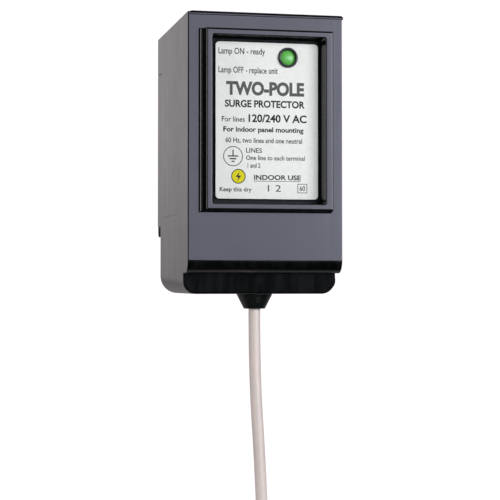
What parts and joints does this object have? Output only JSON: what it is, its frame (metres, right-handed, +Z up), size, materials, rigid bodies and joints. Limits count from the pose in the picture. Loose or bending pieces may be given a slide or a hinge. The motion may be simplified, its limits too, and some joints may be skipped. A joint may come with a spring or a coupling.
{
  "type": "plug-on surge protector",
  "caption": "Two-pole plug-on surge protector for a load centre: black moulded case, framed label with a lamp, stab jaws and rail hook behind, and a neutral pigtail below.",
  "frame": {"origin": "centre of the flat rear mounting face, which lies against the panel", "axes": "+Z up, along the tall side; -Y towards the front face and its label; +X to the right seen from the front"},
  "size_m": [0.0508, 0.0678, 0.2192],
  "materials": {
    "case_plastic": "moulded black, half gloss",
    "hook_black": "blackened steel",
    "steel": "zinc plated",
    "label_print": "printed film",
    "collar_black": "moulded black",
    "lamp_green": "tinted clear, glossy",
    "tinned_wire": "tinned",
    "board_green": "laminate with solder mask",
    "resistor_body": "coated",
    "diode_body": "moulded",
    "carrier_plastic": "moulded grey",
    "terminal_brass": "machined",
    "cord_jacket": "extruded vinyl",
    "tie_black": "moulded nylon",
    "copper": "bare copper",
    "varistor_coat": "dipped epoxy coat",
    "fuse_body": "drawn can"
  },
  "bodies": {
    "housing": {"front_cover": "case_plastic", "rear_base": "case_plastic", "cover_screws": "steel", "rail_hook": "hook_black", "hook_rivets": "steel", "label_plate": "label_print", "lamp_ring": "collar_black", "indicator_lamp": "lamp_green", "lamp_leads": "tinned_wire", "circuit_board": "board_green", "board_screws": "steel", "lamp_resistors": "resistor_body", "lamp_diode": "diode_body", "jaw_carrier": "carrier_plastic", "pole_barrier": "carrier_plastic", "neutral_terminal": "terminal_brass", "neutral_lead": "cord_jacket", "strain_relief": "case_plastic", "strain_relief_pin": "steel", "varistor_left": "varistor_coat", "varistor_right": "varistor_coat", "thermal_fuse_left": "fuse_body", "thermal_fuse_right": "fuse_body", "jaw_terminal_left": "copper", "jaw_terminal_right": "copper", "jaw_spring_left": "steel", "jaw_spring_right": "steel", "line_lead_left": "copper", "line_lead_right": "copper", "pigtail_cord": "cord_jacket", "pigtail_hank": "cord_jacket", "hank_tie": "tie_black", "pigtail_tail": "cord_jacket", "stripped_end": "copper"},
    "left_outer_finger": {"jaw_finger_left_outer": "copper"},
    "left_inner_finger": {"jaw_finger_left_inner": "copper"},
    "right_outer_finger": {"jaw_finger_right_outer": "copper"},
    "right_inner_finger": {"jaw_finger_right_inner": "copper"}
  },
  "joints": [
    {"name": "left_outer_finger_opens", "type": "hinge", "parent": "housing", "child": "left_outer_finger", "pos_m": [-0.01425, -0.019, 0.028], "axis": [0, 0, 1], "range_deg": [0, 2.5], "stiffness_Nm_per_rad": 0.05, "deforming": ["jaw_spring_left"]},
    {"name": "left_inner_finger_opens", "type": "hinge", "parent": "housing", "child": "left_inner_finger", "pos_m": [-0.01115, -0.019, 0.028], "axis": [0, 0, -1], "range_deg": [0, 2.5], "stiffness_Nm_per_rad": 0.05},
    {"name": "right_outer_finger_opens", "type": "hinge", "parent": "housing", "child": "right_outer_finger", "pos_m": [0.01425, -0.019, 0.028], "axis": [0, 0, -1], "range_deg": [0, 2.5], "stiffness_Nm_per_rad": 0.05, "deforming": ["jaw_spring_right"]},
    {"name": "right_inner_finger_opens", "type": "hinge", "parent": "housing", "child": "right_inner_finger", "pos_m": [0.01115, -0.019, 0.028], "axis": [0, 0, 1], "range_deg": [0, 2.5], "stiffness_Nm_per_rad": 0.05}
  ],
  "couplings": [
    {"joint": "left_inner_finger_opens", "follows": "left_outer_finger_opens", "ratio": 1},
    {"joint": "right_inner_finger_opens", "follows": "right_outer_finger_opens", "ratio": 1}
  ]
}
